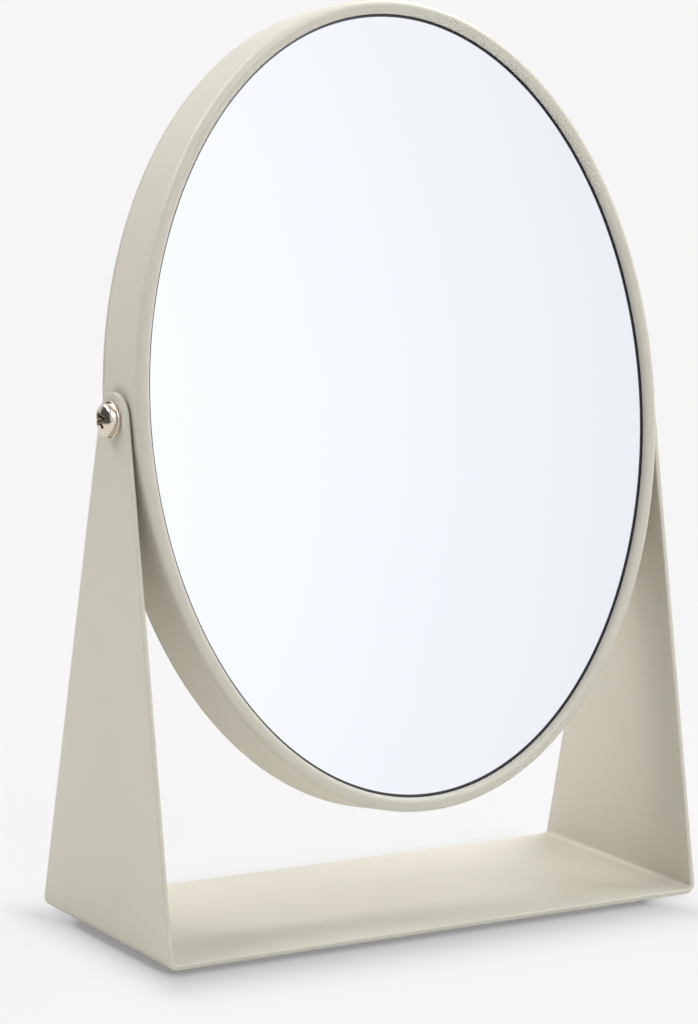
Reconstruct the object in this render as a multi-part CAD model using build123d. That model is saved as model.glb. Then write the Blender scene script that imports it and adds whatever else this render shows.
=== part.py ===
from build123d import *
import os
from math import acos, atan2, cos, hypot, sin

# Oval two-sided table mirror that tilts between the arms of a bent sheet-steel stand.
# Lengths are millimetres and angles degrees.
# +Z is up, the pivot axis runs along X, the front looks towards -Y,
# and z = 0 is the surface that the pads stand on.

# Mirror head: an upright oval drum
HEAD_WIDTH = 151.5
HEAD_HEIGHT = 200.0
HEAD_DEPTH = 19.3
HEAD_LEAN = 9.0  # backward lean in the stored pose
PIVOT_ABOVE_CENTRE = 0.6  # the pivot axis lies this far above the middle of the oval
PIVOT_BEHIND_MIDDLE = 0.5  # and this far behind the middle of the depth

# Steel band with a rolled front lip, and the rear bezel that closes it
BAND_SHEET = 0.8
SHOULDER_RADIUS = 1.8  # outside, between drum side and lip
LIP_REACH = 3.6  # from the outside of the drum to the inner edge of the lip
LIP_THICKNESS = 1.75  # the front lip is hemmed, so it is thicker than the sheet
REAR_LIP_THICKNESS = 1.2
LIP_EDGE_RADIUS = 1.6  # the hem makes the front lip's inner edge round
REAR_LIP_EDGE_RADIUS = 1.0
BEZEL_RIM = 2.2  # length of drum side that belongs to the bezel
BEZEL_SKIRT = 2.6  # length of the skirt inside the band
BEZEL_GAP = 0.1  # hairline joint, and skirt to band

# Glass, tape and filling
GLASS_THICKNESS = 2.0
GLASS_CLEARANCE = 0.4  # glass edge to the metal round it
GROUND_EDGE_SHOW = 0.7  # width of ground edge that shows inside the lip
GROUND_EDGE_DROP = 0.4
MAGNIFIER_SAG = 3.6  # hollow of the concave glass over the height of the oval
TAPE_THICKNESS = 0.3
REAR_TAPE_THICKNESS = 0.4  # at the top and bottom of the oval
TAPE_SETBACK = 0.2  # tape edge behind the edge of the lip
FOAM_THICKNESS = 2.0
FOAM_MARGIN = 3.0  # outside of the drum to the edge of the foam sheet
CORE_THICKNESS = 3.0
CORE_MARGIN = 6.0  # outside of the drum to the edge of the core board
SUPPORT_RING_WIDTH = 8.0

# Stand
STAND_SHEET = 1.3
STAND_DEPTH = 64.4
STAND_BEND_RADIUS = 1.2  # inside of the bend
STAND_EDGE_RADIUS = 0.4
STAND_CORNER_RADIUS = 12.0  # where the slanted edges of an arm run into the base
PIVOT_HEIGHT = 127.4
EAR_RADIUS = 6.6

# Pads under the base
PAD_DIAMETER = 10.0
PAD_THICKNESS = 0.8
PAD_MARGIN = 4.0  # pad edge to the edges of the base

# Pivot hardware: M4 screw, washers and nut
SCREW_DIAMETER = 4.0
SCREW_LENGTH = 8.0
SCREW_TIP_CHAMFER = 0.4
SCREW_HEAD_DIAMETER = 8.0
SCREW_HEAD_HEIGHT = 2.5
SCREW_CROWN_RADIUS = 7.8  # of the shallow dome on the head
SCREW_HEAD_EDGE = 1.1  # rounding between the dome and the side of the head
RECESS_WIDTH = 4.7
RECESS_SLOT = 1.2
RECESS_DEPTH = 1.6
RECESS_CORE_DIAMETER = 2.6  # tapered hole in the middle of the cross
RECESS_CORE_DEPTH = 1.8
RECESS_BOTTOM = 0.4  # widths at the bottom, as a share of those at the top
SCREW_CLEARANCE = 0.1  # screw to the holes it turns in
THREAD_CLEARANCE = 0.03
SCREW_WASHER_DIAMETER = 9.0
SCREW_WASHER_THICKNESS = 0.8
FRICTION_WASHER_DIAMETER = 10.0
FRICTION_WASHER_THICKNESS = 0.4
WASHER_EDGE_RADIUS = 0.15
NUT_ACROSS_FLATS = 7.0
NUT_THICKNESS = 3.2
NUT_STANDOFF = 0.1  # weld projections between nut and band
RUNNING_GAP = 0.05  # between faces that slide on each other

# Depths in the head, measured from the pivot axis
FRONT = -HEAD_DEPTH / 2 - PIVOT_BEHIND_MIDDLE
REAR = HEAD_DEPTH / 2 - PIVOT_BEHIND_MIDDLE
LIP_BACK = FRONT + LIP_THICKNESS
GLASS_FRONT = LIP_BACK + TAPE_THICKNESS
GLASS_BACK = GLASS_FRONT + GLASS_THICKNESS
CORE_FRONT = GLASS_BACK + FOAM_THICKNESS
CORE_BACK = CORE_FRONT + CORE_THICKNESS
BEZEL_JOINT = REAR - BEZEL_RIM
BEZEL_LIP_FRONT = REAR - REAR_LIP_THICKNESS

# Insets from the outline of the oval
FRONT_GLASS_INSET = BAND_SHEET + GLASS_CLEARANCE
SKIRT_OUTSIDE = BAND_SHEET + BEZEL_GAP
SKIRT_INSIDE = SKIRT_OUTSIDE + BAND_SHEET
REAR_GLASS_INSET = SKIRT_INSIDE + GLASS_CLEARANCE
TAPE_EDGE = LIP_REACH - TAPE_SETBACK

# The concave glass touches its tape at the top and bottom of the oval
LONG_HALF = HEAD_HEIGHT / 2 - REAR_GLASS_INSET
MAGNIFIER_RADIUS = (LONG_HALF**2 + MAGNIFIER_SAG**2) / (2 * MAGNIFIER_SAG)
MAGNIFIER_MIDDLE = BEZEL_LIP_FRONT - REAR_TAPE_THICKNESS - MAGNIFIER_SAG
MAGNIFIER_CENTRE = Pos(0, MAGNIFIER_MIDDLE + MAGNIFIER_RADIUS, -PIVOT_ABOVE_CENTRE)

# Distances along the pivot axis, outward from the middle of the stand
BAND_FACE = HEAD_WIDTH / 2
NUT_OUTSIDE = BAND_FACE - BAND_SHEET - NUT_STANDOFF
EAR_INSIDE = BAND_FACE + RUNNING_GAP + FRICTION_WASHER_THICKNESS
EAR_OUTSIDE = EAR_INSIDE + STAND_SHEET
SCREW_SEAT = EAR_OUTSIDE + RUNNING_GAP + SCREW_WASHER_THICKNESS
HOLE_RADIUS = SCREW_DIAMETER / 2 + SCREW_CLEARANCE

# Places: the head leans about the pivot axis, the ears do not
PIVOT_PLACE = Pos(0, 0, PIVOT_HEIGHT)
HEAD_PLACE = PIVOT_PLACE * Rot(-HEAD_LEAN, 0, 0)


def oval(inset, depth):
    """Outline of the head moved inward by inset, on the plane y = depth."""
    half_width = HEAD_WIDTH / 2 - inset
    half_height = HEAD_HEIGHT / 2 - inset
    outline = Pos(0, -PIVOT_ABOVE_CENTRE) * Ellipse(half_width, half_height)
    return Plane.XZ.offset(-depth) * outline


def oval_slab(inset, front, back):
    """Solid oval between two depths."""
    return extrude(oval(inset, back), back - front)


def oval_ring(outer_inset, inner_inset, front, back):
    """Flat oval ring between two depths."""
    return oval_slab(outer_inset, front, back) - oval_slab(inner_inset, front, back)


def along_pivot(piece, side):
    """Turn a piece made along +Z to point outward on one side of the pivot axis."""
    return Rot(0, 90 * side, 0) * piece


def frame_band():
    """Oval band, one piece with its front lip, drilled for the two pivot screws."""
    shell = oval_slab(0, FRONT, BEZEL_JOINT)
    shell = fillet(shell.edges().group_by(Axis.Y)[0], SHOULDER_RADIUS)
    hollow = oval_slab(BAND_SHEET, LIP_BACK, BEZEL_JOINT)
    hollow = fillet(hollow.edges().group_by(Axis.Y)[0], SHOULDER_RADIUS - BAND_SHEET)
    band = shell - hollow - oval_slab(LIP_REACH, FRONT, LIP_BACK)
    lip_edge = band.edges().group_by(Axis.Y)[0].sort_by(SortBy.LENGTH)[0]
    band = fillet(lip_edge, LIP_EDGE_RADIUS)
    return band - Rot(0, 90, 0) * Cylinder(HOLE_RADIUS, HEAD_WIDTH + BAND_SHEET)


def rear_bezel():
    """Rear rim with the same shoulder as the band, a lip, and a skirt that enters the band."""
    front = BEZEL_JOINT + BEZEL_GAP
    rim = oval_slab(0, front, REAR)
    rim = fillet(rim.edges().group_by(Axis.Y)[-1], SHOULDER_RADIUS)
    skirt_front = BEZEL_JOINT - BEZEL_SKIRT
    bezel = rim + oval_slab(SKIRT_OUTSIDE, skirt_front, front)
    bezel = bezel - oval_slab(SKIRT_INSIDE, skirt_front, BEZEL_LIP_FRONT)
    bezel = bezel - oval_slab(LIP_REACH, BEZEL_LIP_FRONT, REAR)
    lip_edge = bezel.edges().group_by(Axis.Y)[-1].sort_by(SortBy.LENGTH)[0]
    return fillet(lip_edge, REAR_LIP_EDGE_RADIUS)


def front_mirror_glass():
    """Flat glass whose ground edge falls away towards the rim."""
    edge_back = GLASS_FRONT + GROUND_EDGE_DROP
    face = oval(LIP_REACH + GROUND_EDGE_SHOW, GLASS_FRONT)
    ground_edge = loft([face, oval(FRONT_GLASS_INSET, edge_back)])
    return oval_slab(FRONT_GLASS_INSET, edge_back, GLASS_BACK) + ground_edge


def front_glazing_tape(glass):
    """Soft tape that fills the space between the front lip and the ground edge."""
    strip_back = GLASS_FRONT + GROUND_EDGE_DROP
    return oval_ring(SHOULDER_RADIUS, TAPE_EDGE, LIP_BACK, strip_back) - glass


def rear_magnifying_glass():
    """Oval cut from a spherical concave mirror that looks to the rear."""
    blank = oval_slab(REAR_GLASS_INSET, GLASS_BACK, REAR)
    blank = blank & MAGNIFIER_CENTRE * Sphere(MAGNIFIER_RADIUS + GLASS_THICKNESS)
    return blank - MAGNIFIER_CENTRE * Sphere(MAGNIFIER_RADIUS)


def rear_glazing_tape():
    """Soft tape between the concave glass and the lip of the bezel."""
    strip = oval_ring(REAR_GLASS_INSET, TAPE_EDGE, GLASS_BACK, BEZEL_LIP_FRONT)
    return strip & MAGNIFIER_CENTRE * Sphere(MAGNIFIER_RADIUS)


def rear_support_ring():
    """Foam ring on the core board, shaped to the back of the concave glass."""
    inner = CORE_MARGIN + SUPPORT_RING_WIDTH
    ring = oval_ring(CORE_MARGIN, inner, CORE_BACK, BEZEL_LIP_FRONT)
    return ring - MAGNIFIER_CENTRE * Sphere(MAGNIFIER_RADIUS + GLASS_THICKNESS)


def arm_outline():
    """Outline of the stand from the side: upright at the bends, then slanting up to the ear."""
    bottom = PAD_THICKNESS
    corner = STAND_DEPTH / 2
    shoulder = bottom + STAND_BEND_RADIUS + STAND_SHEET
    rise = PIVOT_HEIGHT - shoulder
    slant = acos(EAR_RADIUS / hypot(corner, rise)) - atan2(rise, corner)
    ear_y = EAR_RADIUS * cos(slant)
    ear_z = PIVOT_HEIGHT + EAR_RADIUS * sin(slant)
    left_side = Polyline((-ear_y, ear_z), (-corner, shoulder), (-corner, bottom))
    underside = Line((-corner, bottom), (corner, bottom))
    right_side = Polyline((corner, bottom), (corner, shoulder), (ear_y, ear_z))
    ear = ThreePointArc((ear_y, ear_z), (0, PIVOT_HEIGHT + EAR_RADIUS), (-ear_y, ear_z))
    outline = make_face([left_side, underside, right_side, ear])
    corners = outline.vertices().group_by(Axis.Y)[1]
    return fillet(corners, STAND_CORNER_RADIUS)


def stand_bracket():
    """Strip bent to a U, with arms that taper to round ears."""
    strip_height = 2 * PIVOT_HEIGHT
    inner_height = strip_height - 2 * STAND_SHEET
    bend_outside = STAND_BEND_RADIUS + STAND_SHEET
    outer = RectangleRounded(2 * EAR_OUTSIDE, strip_height, bend_outside)
    inner = RectangleRounded(2 * EAR_INSIDE, inner_height, STAND_BEND_RADIUS)
    section = Plane.XZ * Pos(0, PAD_THICKNESS + strip_height / 2) * (outer - inner)
    strip = extrude(section, STAND_DEPTH / 2, both=True)
    bracket = strip & extrude(Plane.YZ * arm_outline(), EAR_OUTSIDE, both=True)
    lines = bracket.edges().filter_by(GeomType.LINE)
    square = lines.filter_by(Axis.X) + lines.filter_by(Axis.Y) + lines.filter_by(Axis.Z)
    bracket = fillet(lines - square, STAND_EDGE_RADIUS)
    hole = Rot(0, 90, 0) * Cylinder(HOLE_RADIUS, 2 * EAR_OUTSIDE + STAND_SHEET)
    return bracket - PIVOT_PLACE * hole


def base_pad(side, end):
    """Round pad under one corner of the base."""
    middle = PAD_DIAMETER / 2 + PAD_MARGIN
    x = side * (EAR_OUTSIDE - middle)
    y = end * (STAND_DEPTH / 2 - middle)
    return Pos(x, y, PAD_THICKNESS / 2) * Cylinder(PAD_DIAMETER / 2, PAD_THICKNESS)


def washer(diameter, thickness, seat):
    """Flat washer along +Z that starts at seat."""
    ring = Cylinder(diameter / 2, thickness) - Cylinder(HOLE_RADIUS, thickness)
    ring = fillet(ring.edges().sort_by(SortBy.LENGTH)[-2:], WASHER_EDGE_RADIUS)
    return Pos(0, 0, seat + thickness / 2) * ring


def pivot_screw():
    """Pan-head screw along +Z with a cross recess, its thread drawn as a plain rod."""
    blank = Pos(0, 0, SCREW_HEAD_HEIGHT / 2) * Cylinder(SCREW_HEAD_DIAMETER / 2, SCREW_HEAD_HEIGHT)
    crown = Pos(0, 0, SCREW_HEAD_HEIGHT - SCREW_CROWN_RADIUS) * Sphere(SCREW_CROWN_RADIUS)
    head = blank & crown
    rims = head.edges().sort_by(SortBy.LENGTH)[-2:]
    head = fillet(rims.sort_by(Axis.Z)[-1], SCREW_HEAD_EDGE)
    core_top = RECESS_CORE_DIAMETER / 2
    core = Cone(core_top * RECESS_BOTTOM, core_top, RECESS_CORE_DEPTH)
    head = head - Pos(0, 0, SCREW_HEAD_HEIGHT - RECESS_CORE_DEPTH / 2) * core
    top = Plane.XY.offset(SCREW_HEAD_HEIGHT)
    floor = Plane.XY.offset(SCREW_HEAD_HEIGHT - RECESS_DEPTH)
    for turn in (0, 90):
        mouth = top * Rot(0, 0, turn) * Rectangle(RECESS_WIDTH, RECESS_SLOT)
        root = floor * Rot(0, 0, turn)
        root = root * Rectangle(RECESS_WIDTH * RECESS_BOTTOM, RECESS_SLOT * RECESS_BOTTOM)
        head = head - loft([mouth, root])
    rod = Cylinder(SCREW_DIAMETER / 2, SCREW_LENGTH)
    rod = chamfer(rod.edges().group_by(Axis.Z)[0], SCREW_TIP_CHAMFER)
    return Pos(0, 0, SCREW_SEAT) * (head + Pos(0, 0, -SCREW_LENGTH / 2) * rod)


def weld_nut():
    """Hexagon nut along +Z, inside the band."""
    hexagon = RegularPolygon(NUT_ACROSS_FLATS / 2, 6, major_radius=False)
    profile = hexagon - Circle(SCREW_DIAMETER / 2 + THREAD_CLEARANCE)
    return Pos(0, 0, NUT_OUTSIDE - NUT_THICKNESS) * extrude(profile, NUT_THICKNESS)


flat_glass = front_mirror_glass()
head_pieces = {
    "frame_band": frame_band(),
    "front_glazing_tape": front_glazing_tape(flat_glass),
    "front_mirror_glass": flat_glass,
    "front_backing_foam": oval_slab(FOAM_MARGIN, GLASS_BACK, CORE_FRONT),
    "core_board": oval_slab(CORE_MARGIN, CORE_FRONT, CORE_BACK),
    "rear_support_ring": rear_support_ring(),
    "rear_magnifying_glass": rear_magnifying_glass(),
    "rear_glazing_tape": rear_glazing_tape(),
    "rear_bezel": rear_bezel(),
}
stand_pieces = {"stand_bracket": stand_bracket()}
screw_washer = washer(SCREW_WASHER_DIAMETER, SCREW_WASHER_THICKNESS, EAR_OUTSIDE + RUNNING_GAP)
friction_washer = washer(
    FRICTION_WASHER_DIAMETER, FRICTION_WASHER_THICKNESS, BAND_FACE + RUNNING_GAP
)
for side, side_name in ((-1, "left"), (1, "right")):
    head_pieces[f"weld_nut_{side_name}"] = along_pivot(weld_nut(), side)
    head_pieces[f"pivot_screw_{side_name}"] = along_pivot(pivot_screw(), side)
    head_pieces[f"screw_washer_{side_name}"] = along_pivot(screw_washer, side)
    washer_place = PIVOT_PLACE * along_pivot(friction_washer, side)
    stand_pieces[f"friction_washer_{side_name}"] = washer_place
    for end, end_name in ((-1, "front"), (1, "rear")):
        stand_pieces[f"base_pad_{end_name}_{side_name}"] = base_pad(side, end)

os.makedirs("parts", exist_ok=True)
for name, piece in stand_pieces.items():
    export_step(piece, f"parts/{name}.step")
for name, piece in head_pieces.items():
    export_step(HEAD_PLACE * piece, f"parts/{name}.step")
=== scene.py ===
from functools import partial
from math import acos, asin, atan2, cos, degrees, hypot, pi, radians, sin, sqrt, tan

import bmesh
import bpy
from bpy.props import FloatProperty, FloatVectorProperty, PointerProperty
from mathutils import Matrix, Vector


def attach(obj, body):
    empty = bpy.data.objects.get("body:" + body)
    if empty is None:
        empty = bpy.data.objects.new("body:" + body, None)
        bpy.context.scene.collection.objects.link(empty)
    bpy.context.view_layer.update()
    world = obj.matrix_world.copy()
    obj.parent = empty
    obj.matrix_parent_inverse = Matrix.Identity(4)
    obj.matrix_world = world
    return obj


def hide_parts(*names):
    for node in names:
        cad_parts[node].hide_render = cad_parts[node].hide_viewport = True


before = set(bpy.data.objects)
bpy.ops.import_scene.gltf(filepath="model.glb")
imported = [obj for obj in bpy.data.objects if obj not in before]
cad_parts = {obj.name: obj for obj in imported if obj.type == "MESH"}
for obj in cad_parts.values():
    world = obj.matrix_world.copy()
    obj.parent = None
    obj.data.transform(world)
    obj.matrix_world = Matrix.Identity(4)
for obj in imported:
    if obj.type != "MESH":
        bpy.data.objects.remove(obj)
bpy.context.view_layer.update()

bl_info = {
    "name": "Oval table mirror",
    "version": (1, 0, 0),
    "blender": (4, 5, 0),
    "location": "3D View > Sidebar > Table mirror",
    "description": "Builds a two-sided oval mirror that tilts in a bent sheet-steel stand",
    "category": "Object",
}

MM = 0.001
SMOOTH_LIMIT = radians(32)  # edges sharper than this stay crisp
FLAT_LIMIT = radians(4)  # the same for glass, whose flat face must stay flat
SUPPORT = 0.12 * MM  # flat strip beside a rounded edge, which keeps the shading of flats even
WELD = 0.002 * MM  # points closer than this become one
OVAL_STEPS = 320  # points round the oval
RIM_STEPS = 8  # steps in a rounded edge of the band or the bezel
EAR_STEPS = 24  # steps in half the round end of an arm
CORNER_STEPS = 4  # steps where an arm begins to taper
BEND_STEPS = 10  # steps in a bend of the stand
EDGE_STEPS = 4  # steps in a rounded edge of the stand's sheet or of a washer
PAD_EDGE_STEPS = 5  # steps in the rounded edge of a pad
CROWN_STEPS = 14  # steps in the dome of a screw head, from the middle out
CAP_EDGE_STEPS = 8  # steps in the round edge of a screw head
CONCAVE_RINGS = 28  # rings of points on each face of the concave glass
ROUND_STEPS = 96  # points round a washer or a screw head
HOLE_STEPS = 64  # points round a pivot hole or a pad
CORE_STEPS = 48  # points round the hole in a cross recess
RECESS_BOTTOM = 0.4  # widths at the bottom of a screw's recess, as a share of those at its top
CAP_BREAK = 0.1 * MM  # broken edge at the foot of a screw head
THREAD_DEPTH = 0.61  # depth of a thread, as a share of its pitch
THREAD_SIDES = 28  # points round a thread
THREAD_LEVELS = 8  # rings of points in one turn of a thread
THREAD_RISE = 1.6  # steepness of a thread's flanks
THREAD_ROOT = 0.2  # drop of the flanks that leaves a flat root
# Faces inside a screw's recess get a darker colour: painted shade, where the plating is also
# thinner.
RECESS_SHADE_MARK = "thin_plating"  # attribute of the faces inside a screw's recess
GLASS_FINISHES = ("silvered_glass", "ground_edge_painted_shade", "backing_paint", "polished_edge")
SILVERED, GROUND_AND_SHADE, PAINTED, POLISHED = range(4)  # their numbers
STAND = "stand"
HEAD = "head"
WHITE = (1.0, 1.0, 1.0)
LAMP_DISTANCE = 1.5  # metres from the pivot axis
LAMPS = {  # azimuth and elevation in degrees, diameter in metres, tint
    "front_lamp": (10, 46, 1.3, (0.94, 0.97, 1.0)),
    "left_lamp": (-115, 48, 1.1, WHITE),
    "right_lamp": (100, 52, 1.1, WHITE),
    "rear_lamp": (-150, 45, 1.1, WHITE),
}
DARK_CORNER = -114  # azimuth of a dark corner of the room, which only bright metal shows
DARK_CORNER_SHARE = 0.12  # brightness left in it
# Patches of the room: azimuth and elevation of the middle, reach of the core and of the edge,
# all in degrees, then the brightness inside and outside, and how it falls between them
ROOM_PATCHES = (
    (DARK_CORNER, 6, 30, 47, DARK_CORNER_SHARE, 1.0, "SMOOTHSTEP"),
    (175, 62, 20, 45, 0.25, 1.0, "SMOOTHSTEP"),  # dark above and behind
    (20, 9, 0, 22, 1.2, 0.84, "LINEAR"),  # bright wall that the mirror looks at
)
FLOOR_HALF_SIDE = 6.0  # metres
PAPER_BOUNCE = 0.9  # share of the light that the studio paper throws back on the object
PAPER_SHOWN = 0.72  # the same for what the camera sees, which keeps lit paper below white
PAPER_END = (0.5, 0.7)  # metres towards the dark corner where the paper's mirrored picture darkens
FADE_REACH = (0.12, 0.45)  # metres from the middle over which cast shadows fade out
FADE_NEAR = 0.9  # share of the plain backdrop colour in the floor near the object
SHADE_MIDDLE = (-7.2 * MM, -7.5 * MM, 0.0)  # soft shade on the floor, a little to the front left
SHADE_STEPS = (  # millimetres from the outline of that shade, and share of the floor's brightness
    (-10, 0.33),
    (-8.5, 0.44),
    (-7, 0.55),
    (-5.4, 0.6),
    (-2.4, 0.68),
    (5, 0.845),
    (11, 0.93),
    (17, 0.985),
    (27, 1.0),
)
SHADE_STRETCH = (2.6, 1.0, 1.0)  # it fades faster beside the arms than in front
SHADE_SPREAD = (1.7, 1.0, 1.0)  # the same past its outline
SHADE_GROWTH = (-2.1 * MM, 2.5 * MM, 0.0)  # its half sizes, less those of the base
SHADE_CORNER = 13 * MM  # over which its corners blend
MATHS = "ShaderNodeMath"
VECTOR_MATHS = "ShaderNodeVectorMath"
MAP_RANGE = "ShaderNodeMapRange"
COMBINE = "ShaderNodeCombineXYZ"


def linear(hex_colour):
    """Linear RGB of an sRGB hex colour."""
    channels = [int(hex_colour[i : i + 2], 16) / 255 for i in (1, 3, 5)]
    return [c / 12.92 if c <= 0.04045 else ((c + 0.055) / 1.055) ** 2.4 for c in channels]


def length(name, description, millimetres):
    """Property for a length, given in millimetres and kept in metres."""
    value = millimetres * MM
    return FloatProperty(
        name=name, description=description, default=value, min=0.0, precision=5, unit="LENGTH"
    )


def angle(name, description, degrees):
    """Property for an angle, given in degrees and kept in radians."""
    return FloatProperty(
        name=name, description=description, default=radians(degrees), subtype="ANGLE"
    )


def colour(name, description, hex_colour):
    """Property for a colour, given as an sRGB hex value and kept as linear RGB."""
    return FloatVectorProperty(
        name=name,
        description=description,
        default=linear(hex_colour),
        size=3,
        min=0.0,
        max=1.0,
        subtype="COLOR",
    )


def power(name, description, watts):
    """Property for the power of a lamp in watts."""
    return FloatProperty(name=name, description=description, default=watts, min=0.0, unit="POWER")


class HeadSizes(bpy.types.PropertyGroup):
    """Sizes of the oval head; depths run back from the pivot axis."""

    width: length("Width", "Width of the oval", 151.5)
    height: length("Height", "Height of the oval", 200.0)
    depth: length("Depth", "Depth of the drum from lip to lip", 19.3)
    lean: angle("Lean", "Backward lean at rest", 9.0)
    above_centre: length("Pivot offset", "Pivot axis above the middle of the oval", 0.6)
    behind_middle: length("Pivot setback", "Pivot axis behind the middle of the depth", 0.5)
    sheet: length("Sheet", "Thickness of the band's sheet", 0.8)
    shoulder: length("Shoulder", "Radius between drum side and lip", 1.8)
    lip_reach: length("Lip reach", "Outside of the drum to the inner edge of the lip", 3.6)
    lip_thickness: length("Lip thickness", "Thickness of the hemmed front lip", 1.75)
    rear_lip: length("Rear lip", "Thickness of the rear lip", 1.2)
    lip_edge: length("Lip edge", "Radius of the front lip's inner edge", 1.6)
    rear_lip_edge: length("Rear lip edge", "Radius of the rear lip's inner edge", 1.0)
    bezel_rim: length("Bezel rim", "Drum side that belongs to the rear bezel", 2.2)
    bezel_skirt: length("Bezel skirt", "Length of the skirt inside the band", 2.6)
    bezel_gap: length("Bezel gap", "Hairline joint between band and bezel", 0.1)
    joint_edge: length("Joint edge", "Radius of the two edges at the hairline joint", 0.12)
    glass: length("Glass", "Thickness of both glasses", 2.0)
    glass_clearance: length("Glass clearance", "Glass edge to the metal round it", 0.4)
    ground_show: length("Ground edge", "Ground edge that shows inside the lip", 0.7)
    polished_show: length("Polished edge", "Inner part of it that is polished", 0.05)
    ground_drop: length("Ground drop", "Fall of the ground edge towards the rim", 0.4)
    tape: length("Front tape", "Tape between front lip and glass", 0.3)
    rear_tape: length("Rear tape", "Tape between rear lip and glass, at the top", 0.4)
    sag: length("Sag", "Hollow of the concave glass over its height", 3.6)


class StandSizes(bpy.types.PropertyGroup):
    """Sizes of the bent stand and its pads."""

    sheet: length("Sheet", "Thickness of the stand's sheet", 1.3)
    depth: length("Depth", "Depth of the base, front to back", 64.4)
    bend: length("Bend", "Inside radius of the two bends", 1.2)
    edge: length("Edge", "Radius of the sheet's edges", 0.4)
    corner: length("Corner", "Radius where an arm begins to taper", 12.0)
    pivot_height: length("Pivot height", "Pivot axis above the table", 127.4)
    ear: length("Ear", "Radius of the arm's round end", 6.6)
    ear_inside: length("Ear inside", "Middle of the stand to the inside of an arm", 76.2)
    pad: length("Pad", "Diameter of a pad", 10.0)
    pad_thickness: length("Pad thickness", "Height of a pad", 0.8)
    pad_margin: length("Pad margin", "Pad edge to the edges of the base", 4.0)
    pad_edge: length("Pad edge", "Radius of a pad's edge", 0.25)


class PivotSizes(bpy.types.PropertyGroup):
    """Sizes of the pivot screws and washers."""

    screw: length("Screw", "Outside diameter of the thread", 4.0)
    pitch: length("Pitch", "Pitch of the thread", 0.7)
    screw_length: length("Screw length", "Length below the screw head", 8.0)
    cap: length("Cap", "Diameter of the screw head", 8.0)
    cap_height: length("Cap height", "Height of the screw head", 2.5)
    crown: length("Crown", "Radius of the shallow dome on the screw head", 7.8)
    cap_edge: length("Cap edge", "Radius between the dome and the side of the screw head", 1.1)
    recess: length("Recess", "Width across the cross recess", 4.7)
    recess_slot: length("Recess slot", "Width of one slot of the cross", 1.2)
    recess_depth: length("Recess depth", "Depth of the cross recess", 1.6)
    recess_core: length("Recess core", "Diameter of the tapered hole in the cross", 2.6)
    recess_core_depth: length("Recess core depth", "Depth of that hole", 1.8)
    recess_turn: angle("Recess turn", "Turn of the cross about the screw", 24.0)
    clearance: length("Clearance", "Screw to the holes it turns in", 0.1)
    washer: length("Washer", "Diameter of the washer under the screw head", 9.0)
    washer_thickness: length("Washer thickness", "Thickness of that washer", 0.8)
    friction: length("Friction washer", "Diameter of the washer inside the arm", 10.0)
    friction_thickness: length("Friction thickness", "Thickness of that washer", 0.4)
    washer_edge: length("Washer edge", "Radius of the washers' edges", 0.15)
    running_gap: length("Running gap", "Between faces that slide on each other", 0.05)


class FinishColours(bpy.types.PropertyGroup):
    """Colours of the finishes."""

    coat: colour("Powder coat", "Band, bezel and stand", "#D2CDBE")
    silver: colour("Silvering", "Reflecting face of both glasses", "#F6F9FF")
    # Dark in part as painted reflection of the shaded gap and lip beside the glass.
    ground: colour("Ground edge", "Ground edge of the glass", "#43444B")
    polished: colour("Polished edge", "Polished part of the ground edge", "#9A9AA8")
    back_paint: colour("Backing paint", "Rear of both glasses", "#75787B")
    nickel: colour("Nickel", "Screws and their washers", "#DDD3C6")
    # Darker nickel inside the recesses: painted shade, with the thinner plating there.
    shaded_recess_nickel: colour("Shaded thin nickel", "Inside of the screws' recesses", "#85786A")
    nylon: colour("Nylon", "Washers inside the arms", "#1C1C1D")
    tape: colour("Tape", "Glazing tape", "#0E0E0F")
    foam: colour("Foam", "Foam behind the glass", "#E4E3DD")
    board: colour("Hardboard", "Core of the head", "#7C5738")
    rubber: colour("Rubber", "Pads", "#2C2C2D")
    steel: colour("Steel", "Weld nuts", "#98989A")
    floor: colour("Floor", "Floor and backdrop", "#F6F6F6")


class StageSettings(bpy.types.PropertyGroup):
    """Camera and light."""

    azimuth: angle("Azimuth", "Camera to the right of straight in front", -32.2475)
    elevation: angle("Elevation", "Camera above the level", 9.088)
    roll: angle("Roll", "Camera turned about its own axis", 1.5102)
    place: FloatVectorProperty(
        name="Place",
        description="Camera position",
        default=(-0.45984, -0.71199, 0.23579),
        size=3,
        precision=5,
        subtype="TRANSLATION",
    )
    lens: FloatProperty(
        name="Lens",
        description="Focal length in millimetres on a 36 mm frame",
        default=120.94,
        min=1.0,
        unit="CAMERA",
    )
    room: FloatProperty(
        name="Room light",
        description="Light that comes from all round",
        default=0.02,
        min=0.0,
        max=1.0,
        subtype="FACTOR",
    )
    front_lamp: power("Front lamp", "Power of the lamp in front", 13.0)
    left_lamp: power("Left lamp", "Power of the lamp on the left", 10.5)
    right_lamp: power("Right lamp", "Power of the lamp on the right", 20.9)
    rear_lamp: power("Rear lamp", "Power of the lamp behind on the left", 7.6)


def add_node(tree, kind, inputs=None, **settings):
    """Add a node with its settings; inputs hold plain values, sockets, or nodes to link from."""
    node = tree.nodes.new(kind)
    for name, value in settings.items():
        setattr(node, name, value)
    for name, value in (inputs or {}).items():
        if isinstance(value, bpy.types.Node):
            value = next(socket for socket in value.outputs if socket.enabled)
        if isinstance(value, bpy.types.NodeSocket):
            tree.links.new(value, node.inputs[name])
        else:
            node.inputs[name].default_value = value
    return node


def new_material(name):
    """Start a material; returns it with its empty tree and its object coordinates."""
    material = bpy.data.materials.new(name)
    material.use_nodes = True
    tree = material.node_tree
    tree.nodes.clear()
    return material, tree, add_node(tree, "ShaderNodeTexCoord").outputs["Object"]


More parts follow.
